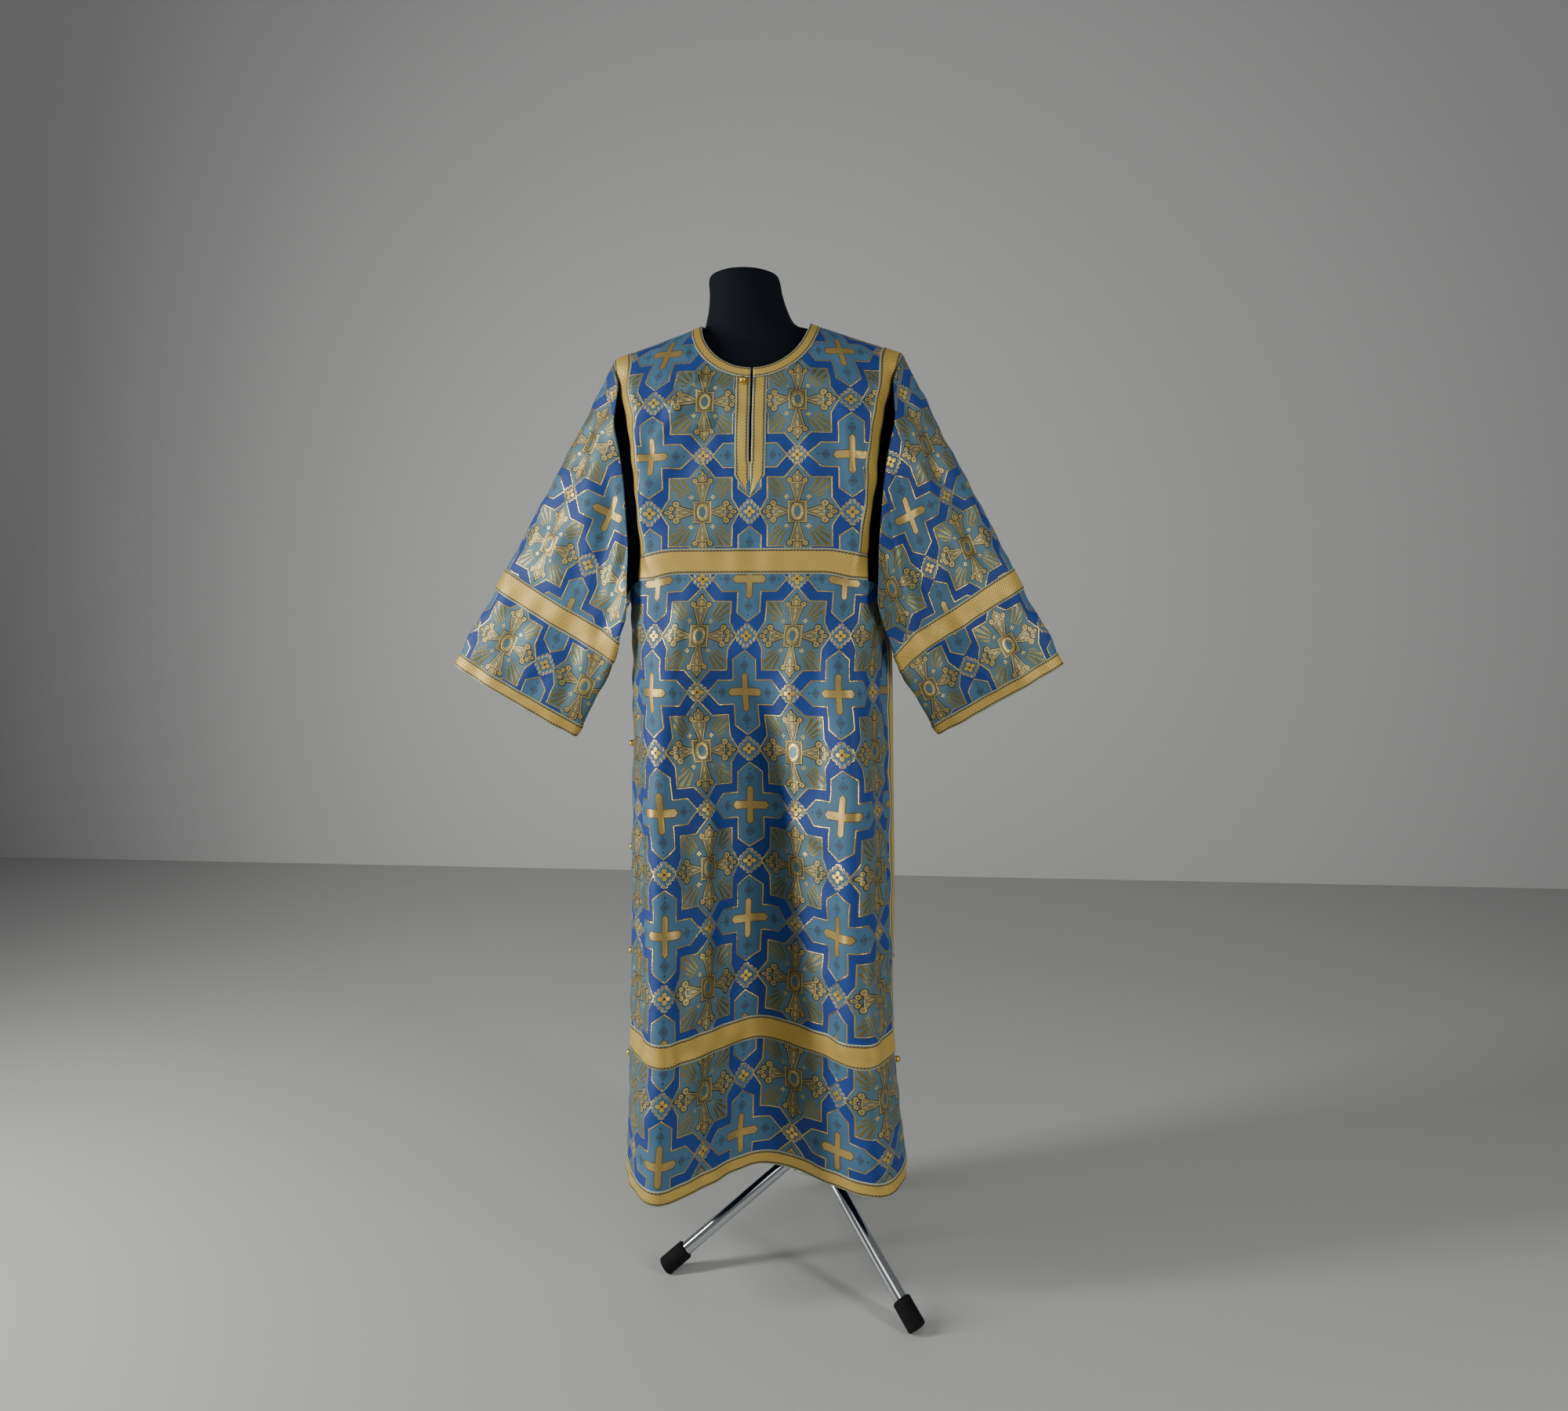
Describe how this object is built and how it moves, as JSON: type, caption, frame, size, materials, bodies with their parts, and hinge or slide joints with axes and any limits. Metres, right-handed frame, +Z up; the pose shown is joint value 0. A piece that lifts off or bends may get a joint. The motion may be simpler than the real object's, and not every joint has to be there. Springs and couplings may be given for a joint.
{
  "type": "sticharion on a limbless dress form with a tripod stand",
  "caption": "Full-length wide-sleeved brocade church vestment trimmed with gold galloon, worn by a black limbless dress form on a chrome tripod stand.",
  "frame": {"origin": "centre of the bounding box on the floor", "axes": "+Z up; the front of the garment faces -Y; +X to the viewer's right"},
  "size_m": [0.9748, 0.4137, 1.558],
  "materials": {
    "brocade": "blue church brocade with gold lurex, stiff backing",
    "galloon": "woven metallic gold braid",
    "gold_button": "polished",
    "form_skin": "smooth black skin, semi-matt",
    "chrome_tube": "bright chrome",
    "rubber": "moulded black rubber"
  },
  "bodies": {
    "root": {"front_panel": "brocade", "hem_galloon_front": "galloon", "lower_band_front": "galloon", "side_galloon_front_left": "galloon", "side_galloon_front_right": "galloon", "back_panel": "brocade", "hem_galloon_back": "galloon", "lower_band_back": "galloon", "side_galloon_back_left": "galloon", "side_galloon_back_right": "galloon", "yoke_band": "galloon", "armhole_galloon_left": "galloon", "slit_galloon_left": "galloon", "armhole_galloon_right": "galloon", "slit_galloon_right": "galloon", "neck_galloon": "galloon", "sleeve_left": "brocade", "cuff_galloon_left": "galloon", "sleeve_band_left": "galloon", "sleeve_right": "brocade", "cuff_galloon_right": "galloon", "sleeve_band_right": "galloon", "side_button_left_1": "gold_button", "side_button_left_2": "gold_button", "side_button_left_3": "gold_button", "side_button_left_4": "gold_button", "side_button_right_1": "gold_button", "side_button_right_2": "gold_button", "side_button_right_3": "gold_button", "side_button_right_4": "gold_button", "neck_button": "gold_button", "dress_form": "form_skin", "stand_pole": "chrome_tube", "leg_1": "chrome_tube", "rubber_foot_1": "rubber", "leg_2": "chrome_tube", "rubber_foot_2": "rubber", "leg_3": "chrome_tube", "rubber_foot_3": "rubber", "stand_hub": "chrome_tube"}
  },
  "joints": []
}
